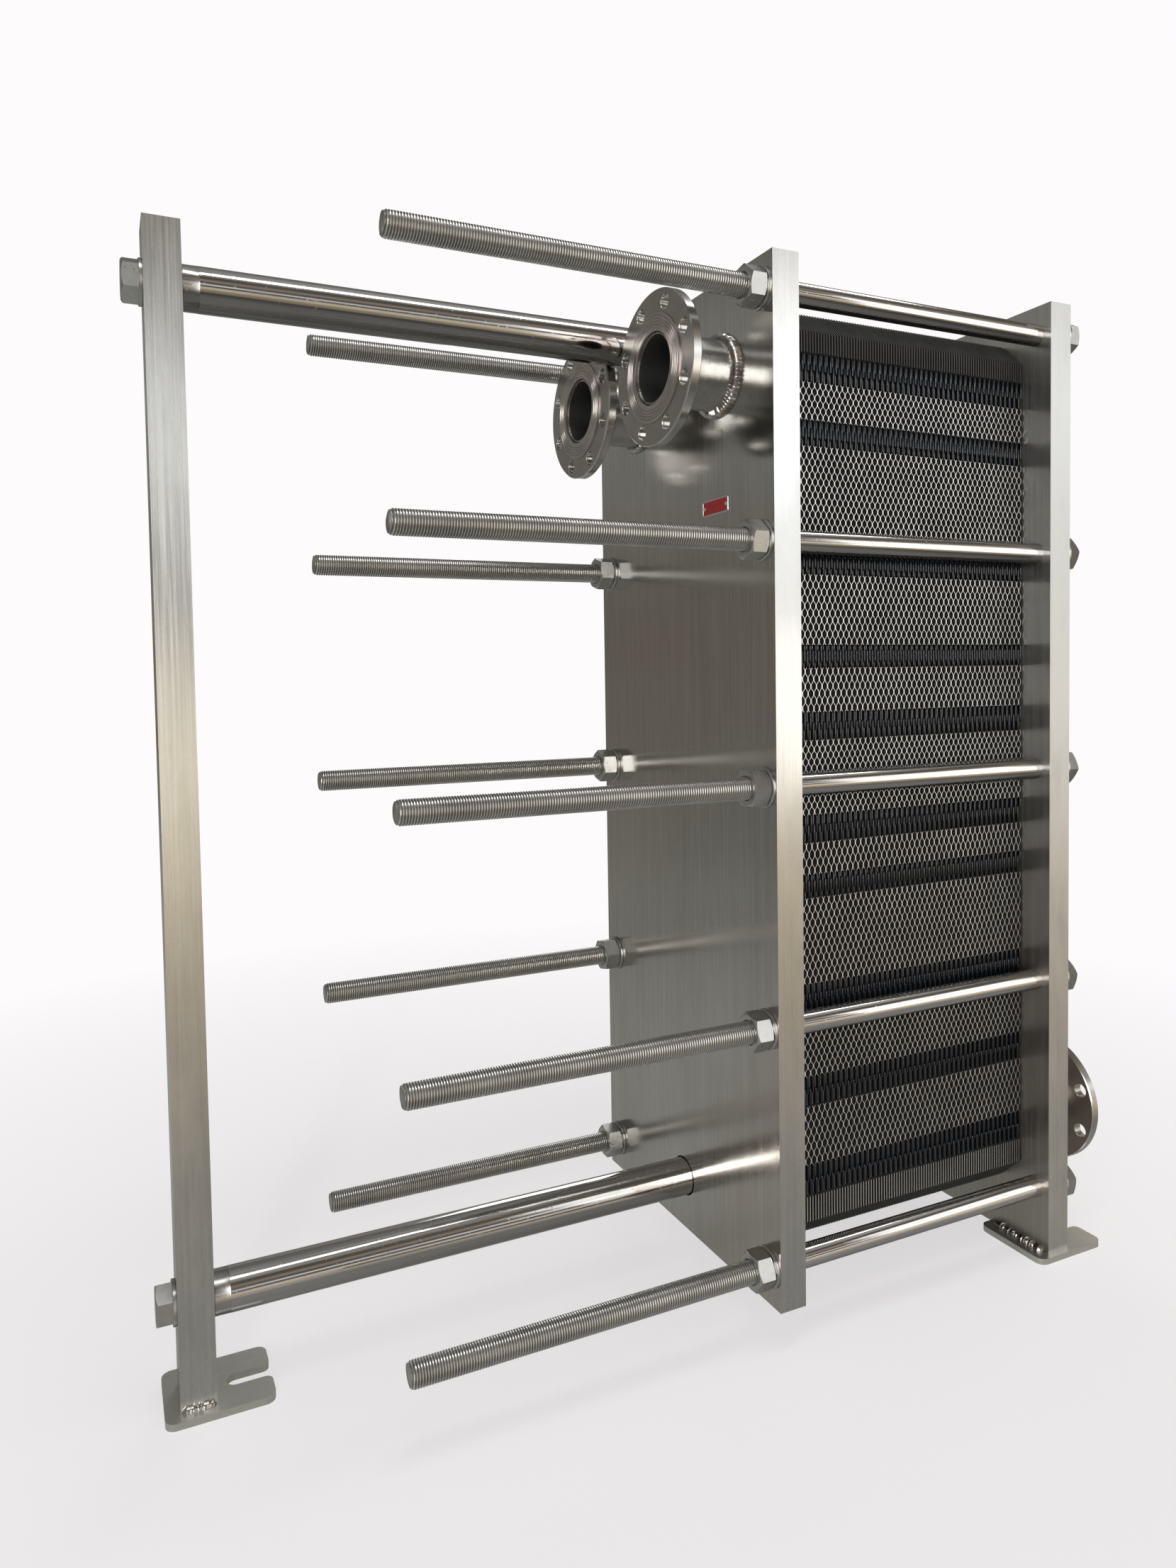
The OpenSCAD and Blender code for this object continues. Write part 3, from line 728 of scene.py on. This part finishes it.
feet_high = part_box("fixed_feet")[1]
plate_low, plate_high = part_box("fixed_plate")
col_low, col_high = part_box("column")
top = feet_high.z
foot_w = 0.105
bead_run = 0.081
bead_leg = 0.006
bead_inset = 0.001              # from the column's corner
column_run = 0.036
under_plate = (feet_high.y - foot_w + plate_high.y) / 2     # middle of the plate on its foot
beads = Shape()
for side in (-1, 1):
    first = side * under_plate - bead_run / 2
    line_bead(beads, (plate_low.x, first, top), (0, 1), (-1, 0), bead_run, bead_leg)
    line_bead(beads, (plate_high.x, first, top), (0, 1), (1, 0), bead_run, bead_leg)
    wall = col_low.y if side < 0 else col_high.y
    line_bead(beads, (col_low.x + bead_inset, wall, top), (1, 0), (0, side), column_run, bead_leg)
beads.make("foot_welds.laid", [weld_steel], "frame", "weld_steel", ["foot_welds"], sharp=60.0)


# ---- Heat plates ----
# Ninety-six stainless sheets 0.6 mm thick, pressed with a herringbone. Their long edges are
# crimped into waves that meet the next sheet's, so the pack's side reads as a honeycomb. The
# crimp stops and the edge steps back where a gasket's tabs clip on.

def sheet_steel(name, shade, gloss, metal=1.0):
    """Cold-rolled sheet with faint rolling marks and cloudy patches."""
    finish = Finish(name, {"Metallic": metal})
    roll = finish.noise((200, 30, 400), 3.0, 0.6)
    cloud = finish.noise((25, 25, 25), 3.0, 0.5)
    tone = finish.mix(finish.fade(cloud, 0.35, 0.7), (*shade, 1), (*[c * 0.82 for c in shade], 1))
    finish.paint(base_color=tone, roughness=gloss + roll * 0.14,
                 normal=finish.bump(roll, 0.00004, 0.4))
    return finish.material


packets = 8
low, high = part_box("heat_plates_1")
sheet_half = high.y
sheet_low, sheet_top = low.z, high.z
corner_cut = 0.032
sheet_t = 0.0006
burr = 0.0002                   # how much the crimped edge is thickened by its burr
per_packet = 12
pitch = (high.x - low.x - sheet_t) / (per_packet - 1)
mid_z = (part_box("nut_near_1")[0].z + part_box("nut_near_5")[1].z) / 2    # middle of the bolt rows
carry_z = middle("carrying_bar")[1]
guide_z = middle("guide_bar")[1]
notch_r = 0.0245
port_r = 0.0375
port_y, port_z = nozzles[0][2:]
ports = [(s * abs(port_y), mid_z + u * (port_z - mid_z)) for s in (-1, 1) for u in (-1, 1)]
wave = 0.0165                   # one crimp and its neighbour, along the edge
swing = (pitch - sheet_t - burr) / 2     # neighbours just touch
margin = 0.012                  # the strip along the edge, thickened by its burr and painted dark as the shade between sheets
crimp_deep = 0.011              # how far in a crimp keeps its height, and where it ends
crimp_end = 0.0135
tab_h = 0.022
seal_in = 0.014
# Each tab band: its height from the middle as a share of the half height, and how far apart
# the tabs of odd and even plates stand
bands = [(0.870, 13), (0.734, 9), (0.464, 7), (0.266, 6), (0.118, 12),
         (-0.101, 12), (-0.224, 7), (-0.464, 12), (-0.668, 16), (-0.863, 18)]
half_height = sheet_top - mid_z


def band_spans(side):
    """Low and high end of each tab band on one side, from the bottom up."""
    spans = []
    for at, apart in bands:
        z = mid_z - side * at * half_height
        reach = (tab_h + apart / 1000) / 2
        spans.append((z - reach, z + reach))
    return sorted(spans)


def edge_rows(side):
    """(z, inset, crimp) of the points up one long edge: crimp is -1, 0 or 1."""
    start, stop = sheet_low + corner_cut, sheet_top - corner_cut
    rows = [(start, 0.0, 0)]
    spans = band_spans(side)
    step_in = 0.005
    for i, (a, b) in enumerate(spans):
        rows += [(a, 0.0, 0), (a + 0.0008, step_in, 0), (b - 0.0008, step_in, 0), (b, 0.0, 0)]
        if i + 1 == len(spans):
            break
        gap = spans[i + 1][0] - b
        count = max(1, round(gap / wave))
        for k in range(count):
            for at, crimp in ((0.125, 1), (0.375, 1), (0.625, -1), (0.875, -1)):
                rows.append((b + gap * (k + at) / count, 0.0, crimp))
    rows.append((stop, 0.0, 0))
    return rows


def inside(points, loop):
    """Which of these points lie in a closed loop."""
    y, z = points[:, :1], points[:, 1:]
    a = np.array(loop)
    b = np.roll(a, -1, axis=0)
    crosses = (a[:, 1] > z) != (b[:, 1] > z)
    run = (b[:, 0] - a[:, 0]) * (z - a[:, 1]) / (b[:, 1] - a[:, 1] + 1e-30) + a[:, 0]
    return (crosses & (y < run)).sum(axis=1) % 2 == 1


def sheet_net(slope):
    """(y, z) points, triangles and pressed height of one kind of sheet."""
    points, heights, edges = [], [], []

    def chain(run, crimps, closed=False):
        start = len(points)
        points.extend(run)
        heights.extend(crimps)
        n = len(run)
        edges.extend((start + i, start + (i + 1) % n) for i in range(n if closed else n - 1))

    w = sheet_half
    right, left = edge_rows(1), edge_rows(-1)
    throat = math.sqrt(notch_r ** 2 - (sheet_top - carry_z) ** 2)
    turn = math.atan2(sheet_top - carry_z, throat)
    arc = 20
    hook = [(notch_r * math.cos(a), carry_z + notch_r * math.sin(a))
            for a in np.linspace(turn, -math.pi - turn, arc)]
    fork = [(notch_r * math.cos(a), guide_z + notch_r * math.sin(a))
            for a in np.linspace(math.pi, 0, arc)]
    rim = [(-w + corner_cut, sheet_low), (-notch_r, sheet_low)] + fork
    rim += [(notch_r, sheet_low), (w - corner_cut, sheet_low)]
    crimps = [0.0] * len(rim)
    for z, inset, crimp in right:
        rim.append((w - inset, z))
        crimps.append(crimp)
    top = [(w - corner_cut, sheet_top)] + hook + [(-w + corner_cut, sheet_top)]
    rim += top
    crimps += [0.0] * len(top)
    for z, inset, crimp in reversed(left):
        rim.append((-w + inset, z))
        crimps.append(crimp)
    chain(rim, crimps, closed=True)
    for side, rows in ((1, right), (-1, left)):
        for z, inset, crimp in rows:
            if crimp:
                chain([(side * w, z), (side * (w - crimp_deep), z), (side * (w - crimp_end), z)],
                      [crimp, crimp, 0.0])
    round_port = 40
    for py, pz in ports:
        chain(circle(py, pz, port_r, round_port), [0.0] * round_port, closed=True)
    field, climb, ridge, reach = 0.144, 0.58, 0.0072, 0.40
    low_end, high_end = mid_z - reach, mid_z + reach
    count = int((high_end - low_end - field * climb) / ridge)
    base = low_end + (field * climb if slope > 0 else 0)
    for k in range(count + 1):
        height = 0.0 if k in (0, count) else (0.9 if k % 2 else -0.9)
        z = base + k * ridge
        drop = slope * field * climb
        chain([(-field, z - drop), (0.0, z), (field, z - drop)], [height] * 3)
        for side in (-1, 1):
            chain([(side * field, z - drop), (side * (field + 0.002), z - drop)], [height, 0.0])
    made, _, faces, origin, *_ = delaunay_2d_cdt(points, edges, [], 0, 1e-6)
    flat = np.array([(p[0], p[1]) for p in made])
    height = np.array([np.mean([heights[i] for i in ids]) if ids else 0.0 for ids in origin])
    faces = np.array([list(f) for f in faces if len(f) == 3])
    centres = flat[faces].mean(axis=1)
    kept = inside(centres, rim)
    for py, pz in ports:
        kept &= np.hypot(centres[:, 0] - py, centres[:, 1] - pz) > port_r * 0.999
    return flat, faces[kept], height


def rim_edges(faces):
    """Directed edges that belong to one triangle only."""
    pairs = np.concatenate([faces[:, [0, 1]], faces[:, [1, 2]], faces[:, [2, 0]]])
    known = {(a, b) for a, b in pairs.tolist()}
    return np.array([(a, b) for a, b in pairs.tolist() if (b, a) not in known])


sheet_face = sheet_steel("pressed_sheet_steel", (0.46, 0.46, 0.45), 0.3)
# Painted shade: the faces along the long edges and the edge faces off the straight stretch are
# dark, as the shade between the sheets of the pack.
sheet_painted_shade = sheet_steel("margin_painted_shade_steel", (0.16, 0.16, 0.155), 0.42, 0.75)
sheet_edge = sheet_steel("sheared_edge_steel", (0.93, 0.93, 0.91), 0.38)
sheet_mid_z = (sheet_low + sheet_top) / 2
straight = (sheet_top - sheet_low) / 2 - corner_cut - 0.001     # half a long edge
nets = [sheet_net(1), sheet_net(-1)]
rims = [rim_edges(faces) for _, faces, _ in nets]
for k in range(1, packets + 1):
    low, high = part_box(f"heat_plates_{k}")
    points, faces, kinds, count = [], [], [], 0
    for i in range(per_packet):
        flat, net, height = nets[i % 2]
        n = len(flat)
        lean = height * (1 if i % 2 == 0 else -1)
        if k == 1 and i == 0:
            lean = np.clip(lean, 0, None)
        x = low.x + i * pitch + lean * swing
        at_edge = np.abs(flat[:, 0]) > sheet_half - margin
        back = np.column_stack([x, flat])
        front = np.column_stack([x + sheet_t + burr * at_edge, flat])
        points += [back, front]
        edge = rims[i % 2]
        wall = np.column_stack([edge[:, 0], edge[:, 1], edge[:, 1] + n, edge[:, 0] + n]) + count
        faces += (net[:, ::-1] + count).tolist() + (net + count + n).tolist() + wall.tolist()
        # Faces near a long edge take the painted shade (kind 2).
        beside = (at_edge[net].sum(axis=1) > 0).astype(int) * 2
        # Edge faces off the straight stretch of the long edges take the painted shade too.
        clipped = np.abs(flat[edge[:, 0], 1] - sheet_mid_z) < straight
        kinds += beside.tolist() * 2 + (2 - clipped).tolist()
        count += 2 * n
    make(f"heat_plates_{k}.pressed", np.concatenate(points).tolist(), faces, kinds,
         [sheet_face, sheet_edge, sheet_painted_shade], f"packet_{k}",
         [f"heat_plates_{k}"], False)


# ---- Gaskets ----
# Black moulded rubber, one to a sheet: a bead in the pressed groove, rings round two of the
# ports, and clip-on tabs whose rounded fingers close over the sheet's edge in ten bands.

def rubber():
    """Moulded rubber: glossy skin, faint flow marks and dust."""
    finish = Finish("gasket_rubber_skin", {"Metallic": 0.0, "Specular IOR Level": 0.4,
                                           "Coat Roughness": 0.1})
    flow = finish.noise((300, 300, 60), 3.0, 0.6)
    dust = finish.fade(finish.noise((700, 700, 700), 4.0, 0.7), 0.6, 0.85)
    shade = finish.mix(dust * 0.4, (0.007, 0.009, 0.013, 1), (0.05, 0.06, 0.075, 1))
    finish.paint(base_color=shade, roughness=0.14 + flow * 0.14 + dust * 0.15,
                 coat_weight=0.45 - dust * 0.35, normal=finish.bump(flow, 0.00008, 0.4))
    return finish.material


def seal_edge(m):
    """The bead's outline, m further in, as in the pressed groove."""
    w = sheet_half - seal_in - m
    c = corner_cut - 0.41 * m
    t, b = sheet_top - seal_in - m, sheet_low + seal_in + m
    top_dip, low_dip = carry_z - notch_r - 0.012 - m, guide_z + notch_r + 0.012 + m
    n = notch_r + 0.008 + m
    return [(-w, b + c), (-w + c, b), (-n - 0.01, b), (-n, low_dip), (n, low_dip),
            (n + 0.01, b), (w - c, b), (w, b + c), (w, t - c), (w - c, t), (n + 0.01, t),
            (n, top_dip), (-n, top_dip), (-n - 0.01, t), (-w + c, t), (-w, t - c)]


def bead_loop(shape, loops, x):
    """Closes a strip through loops of (rise, outline) into a tube of rubber."""
    points = [(x + rise, y, z) for rise, loop in loops for y, z in loop]
    shape.add(points, grid(len(loops), len(loops[0][1]), (0, 1, 2, 3), closed=True))


def finger(shape, x, thick, side, z, inner, outer):
    """One clip-on tab: a tongue along Y with a round nose that runs up the sheet's edge."""
    nose = [(-0.5, inner), (-0.5, outer - thick * 0.5)]
    nose += [(0.5 * math.sin(a), outer - thick * 0.5 + thick * 0.5 * math.cos(a))
             for a in np.linspace(-math.pi / 2, math.pi / 2, 8)[1:-1]]
    nose += [(0.5, outer - thick * 0.5), (0.5, inner)]
    n = len(nose)
    rows = ((0.0, 0.55), (0.0008, 0.82), (0.0022, 1.0), (tab_h - 0.0022, 1.0),
            (tab_h - 0.0008, 0.82), (tab_h, 0.55))
    points = []
    for up, full in rows:
        for across, y in nose:
            out = inner + (y - inner) * (0.88 + 0.12 * full)
            points.append((x + thick * (0.5 + across * full), side * out, z - tab_h / 2 + up))
    faces = grid(len(rows), n, (0, 1, 2, 3))
    faces += [list(range(n))[::-1], list(range((len(rows) - 1) * n, len(rows) * n))]
    shape.add(points, faces if side < 0 else [face[::-1] for face in faces])


def strip(outer, inner, bevel):
    """Loops of a bead between two outlines, its top edges bevelled; each takes its inset."""
    return [(0.0, outer(0)), (thick * 0.7, outer(0)), (thick, outer(bevel)),
            (thick, inner(-bevel)), (thick * 0.7, inner(0)), (0.0, inner(0))]


rubber_skin = rubber()
bead_w = 0.008
ring_out, ring_in = 0.048, 0.042
ring_bevel = 0.0015
link_half = 0.003
thick = pitch - sheet_t
slack = 0.0002                  # a tab is thinner than its gap by twice this
tab_root = 0.0005               # how far off the bead a tab starts
tab_reach = 0.0006              # how far it stands past the sheet's edge
for k in range(1, packets + 1):
    low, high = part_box(f"gaskets_{k}")
    seals = Shape()
    for i in range(per_packet):
        x = low.x + i * pitch
        bead_loop(seals, strip(seal_edge, lambda m: seal_edge(bead_w + m), bead_w * 0.25), x)
        shut = 1 if i % 2 == 0 else -1
        for py, pz in ports:
            if py * shut > 0:
                bead_loop(seals, strip(lambda m: circle(py, pz, ring_out - m, 40),
                                       lambda m: circle(py, pz, ring_in - m, 40), ring_bevel), x)
                y0, y1 = sorted((py + shut * (ring_out - 0.001),
                                 shut * (sheet_half - seal_in - 0.002)))
                z0, z1 = pz - link_half, pz + link_half
                tie = [(y0, z0), (y1, z0), (y1, z1), (y0, z1)]
                seals.add([(x + rise, y, z) for rise in (0.0, thick * 0.9) for y, z in tie],
                          [[3, 2, 1, 0], [4, 5, 6, 7], [0, 1, 5, 4], [2, 3, 7, 6]])
        for side in (-1, 1):
            for at, apart in bands:
                shift = (apart if i % 2 else -apart) / 2000
                finger(seals, x + slack / 2, thick - 2 * slack, side,
                       mid_z - side * at * half_height - side * shift,
                       sheet_half - seal_in + tab_root, sheet_half + tab_reach)
    seals.make(f"gaskets_{k}.moulded", [rubber_skin], f"packet_{k}", "gasket_rubber",
               [f"gaskets_{k}"], sharp=50.0)


# ---- Rating plate ----
# A small aluminium plate on the front of the pressure plate, its field filled with red enamel
# inside a bare border, held by two drive rivets. It carries no words.

def enamel(name, shade, metal, gloss):
    """A thin hard coat or bare sheet, rubbed pale in lines."""
    finish = Finish(name, {"Metallic": metal})
    cloud = finish.noise((400, 400, 400), 3.0, 0.6)
    rub = finish.fade(finish.noise((60, 900, 300), 3.0, 0.6), 0.6, 0.8)
    tone = finish.mix(rub * 0.5, (*shade, 1), (*[min(1, c * 1.4 + 0.06) for c in shade], 1))
    finish.paint(base_color=tone, roughness=gloss + cloud * 0.15,
                 normal=finish.bump(cloud, 0.00003, 0.5))
    return finish.material


low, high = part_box("nameplate")
red = enamel("red_enamel", (0.42, 0.022, 0.025), 0.0, 0.22)
bare = enamel("bare_aluminium", (0.74, 0.74, 0.73), 1.0, 0.26)
tag = Shape()


def rounded(inset, corner):
    """A rectangle with round corners, inset from the plate's edge."""
    y0, y1, z0, z1 = low.y + inset, high.y - inset, low.z + inset, high.z - inset
    loop = []
    for cy, cz, start in ((y1 - corner, z1 - corner, 0), (y0 + corner, z1 - corner, 90),
                          (y0 + corner, z0 + corner, 180), (y1 - corner, z0 + corner, 270)):
        for a in np.radians(np.linspace(start, start + 90, 6)):
            loop.append((cy + corner * math.cos(a), cz + corner * math.sin(a)))
    return loop


outline = rounded(0.0, 0.002)
border = 0.0014
steps = [(high.x, outline), (low.x + 0.0002, outline), (low.x, rounded(0.0003, 0.0018)),
         (low.x, rounded(border, 0.001)), (low.x + 0.0003, rounded(border + 0.0002, 0.0009))]
n = len(outline)
tag_points = [(x, y, z) for x, loop in steps for y, z in loop]
tag.add(tag_points, grid(len(steps), n, (1, 2, 3, 0)))
tag.add(tag_points[-n:], [list(range(n))[::-1]], 1)
tag.make("nameplate.enamelled", [bare, red], "pressure_plate", "nameplate_enamel",
         ["nameplate"], sharp=30.0)

rivet_low, rivet_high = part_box("nameplate_rivets")
rivets = Shape()
rivet_r = 0.0025
dome = 0.0011                   # height of a rivet's head
head = [(rivet_low.x + dome * (1 - math.cos(a)), rivet_r * math.sin(a))
        for a in np.linspace(0, math.pi / 2, 6)]
for y in (rivet_low.y + rivet_r, rivet_high.y - rivet_r):
    z = middle("nameplate_rivets")[1]
    rivets.turned(head + [(rivet_high.x, 0.0016)], y, z, 24)
rivets.make("nameplate_rivets.driven", [bare], "pressure_plate", "machined_steel",
            ["nameplate_rivets"])


# ---- Studio ----
# A pale floor, a white surround, and broad soft boxes that draw light and dark stripes along
# the polished bars, as a workshop's lamps and doors would.

def floor():
    """A pale sheet that fades out before it meets the surround."""
    finish = Finish("pale_floor", {"Roughness": 0.7})
    cloud = finish.noise((3, 3, 3), 4.0, 0.6)
    away = finish.add("ShaderNodeVectorMath", {"operation": "LENGTH"}, {0: finish.place},
                      out="Value")
    finish.paint(base_color=finish.mix(cloud, (0.94, 0.94, 0.94, 1), (0.97, 0.97, 0.97, 1)),
                 alpha=finish.fade(away, 0.6, 2.0, 0.36, 0.0))
    reach = 2.6
    mesh = bpy.data.meshes.new("floor")
    mesh.from_pydata([(-reach, -reach, 0), (reach, -reach, 0), (reach, reach, 0),
                      (-reach, reach, 0)], [], [(0, 1, 2, 3)])
    mesh.materials.append(finish.material)
    ground = bpy.data.objects.new("floor", mesh)
    bpy.context.scene.collection.objects.link(ground)


def soft_box(name, spot, aim, size, power, shade=(1.0, 1.0, 1.0)):
    """An area lamp of size (width, height) at spot, turned to aim."""
    lamp = bpy.data.lights.new(name, "AREA")
    lamp.shape = "RECTANGLE"
    lamp.size, lamp.size_y = size
    lamp.energy = power
    lamp.color = shade
    obj = bpy.data.objects.new(name, lamp)
    bpy.context.scene.collection.objects.link(obj)
    obj.location = spot
    away = np.array(spot) - np.array(aim)
    obj.rotation_euler = (math.atan2(math.hypot(away[0], away[1]), away[2]), 0.0,
                          math.atan2(away[0], -away[1]))


def surround():
    """White to the eye; in reflections a hall with bright and dark stretches."""
    world = bpy.data.worlds.new("surround")
    bpy.context.scene.world = world
    world.use_nodes = True
    finish = Nodes(world.node_tree, "Generated")
    height = finish.axis("Z") * 0.5 + 0.5
    toward = finish.add("ShaderNodeVectorMath", {"operation": "DOT_PRODUCT"},
                        {0: finish.place, 1: (0.62, -0.78, 0.0)}, out="Value")
    bay = finish.noise((1.6, 1.6, 5.0), 2.0, 0.5)
    stripes = finish.add("ShaderNodeValToRGB", {"stops": (
        (0.0, (0.22, 0.22, 0.21)), (0.24, (0.09, 0.09, 0.09)), (0.28, (0.09, 0.08, 0.07)),
        (0.33, (0.44, 0.36, 0.25)), (0.45, (0.74, 0.64, 0.48)), (0.515, (0.60, 0.54, 0.44)),
        (0.53, (0.05, 0.047, 0.045)), (0.575, (0.09, 0.085, 0.09)), (0.595, (1.15, 1.17, 1.2)),
        (0.64, (1.05, 1.06, 1.08)), (0.655, (0.06, 0.055, 0.05)), (0.72, (0.22, 0.18, 0.145)),
        (0.78, (0.34, 0.30, 0.25)), (0.84, (0.16, 0.14, 0.12)), (0.88, (0.07, 0.065, 0.06)),
        (0.94, (0.38, 0.36, 0.34)), (1.0, (0.5, 0.5, 0.5)))}, {0: height})
    far_wall = finish.add("ShaderNodeValToRGB", {"stops": (
        (0.0, (0.34, 0.35, 0.33)), (0.36, (0.34, 0.35, 0.33)), (0.46, (0.20, 0.19, 0.17)),
        (0.52, (0.19, 0.17, 0.145)), (0.57, (0.28, 0.26, 0.24)), (0.63, (0.40, 0.42, 0.40)),
        (0.70, (0.24, 0.22, 0.20)), (0.85, (0.16, 0.15, 0.14)), (1.0, (0.3, 0.3, 0.3)))},
        {0: height})
    shade = finish.mix(finish.fade(toward, -0.15, 0.3), far_wall, stripes)
    seen = finish.mix(finish.fade(bay, 0.42, 0.62, 0.0, 0.45), shade, (0.05, 0.046, 0.042, 1))
    to_eye = finish.add("ShaderNodeLightPath", {}, {}, out="Is Camera Ray")
    finish.feed(world.node_tree.nodes["Background"].inputs["Color"],
                finish.mix(to_eye, seen, (0.985, 0.965, 0.975, 1)))


floor()
surround()
soft_box("front_right_box", (2.3, -3.1, 1.5), (0.3, 0.0, 0.6), (2.2, 2.6), 21)
soft_box("strip_box", (-1.9, -3.0, 1.2), (0.2, 0.0, 0.7), (0.28, 2.2), 38)
soft_box("top_box", (0.2, -0.6, 3.3), (0.0, 0.0, 0.0), (2.8, 0.4), 24)
soft_box("warm_box", (3.2, 0.9, 1.0), (0.4, 0.0, 0.6), (0.6, 1.8), 7, (1.0, 0.78, 0.58))
soft_box("back_box", (1.6, 3.0, 1.8), (0.3, 0.0, 0.6), (1.8, 1.6), 22)


# ---- Camera ----
# It stands in front of the column's end, a little under two thirds of the way up, and looks
# between the column and the pack.

def camera():
    """One camera, nearly level, whose lens is shifted a little."""
    lens = bpy.data.cameras.new("camera")
    obj = bpy.data.objects.new("camera", lens)
    bpy.context.scene.collection.objects.link(obj)
    turn = Matrix.Rotation(math.radians(-24.3976), 4, "Z")
    nod = Matrix.Rotation(math.radians(-2.3726), 4, "X")
    lean = Matrix.Rotation(math.radians(0.9635), 4, "Y")
    level = Matrix.Rotation(math.radians(90), 4, "X")
    stand = Matrix.Translation((-0.6495, -1.1725, 0.7883))
    obj.matrix_world = stand @ turn @ nod @ lean @ level
    lens.sensor_width = 36.0
    lens.lens = 23.469
    lens.shift_x = 0.01593
    lens.shift_y = -0.03874
    lens.clip_end = 60.0
    return obj


bpy.context.scene.camera = camera()
bpy.context.scene.view_settings.view_transform = "Standard"
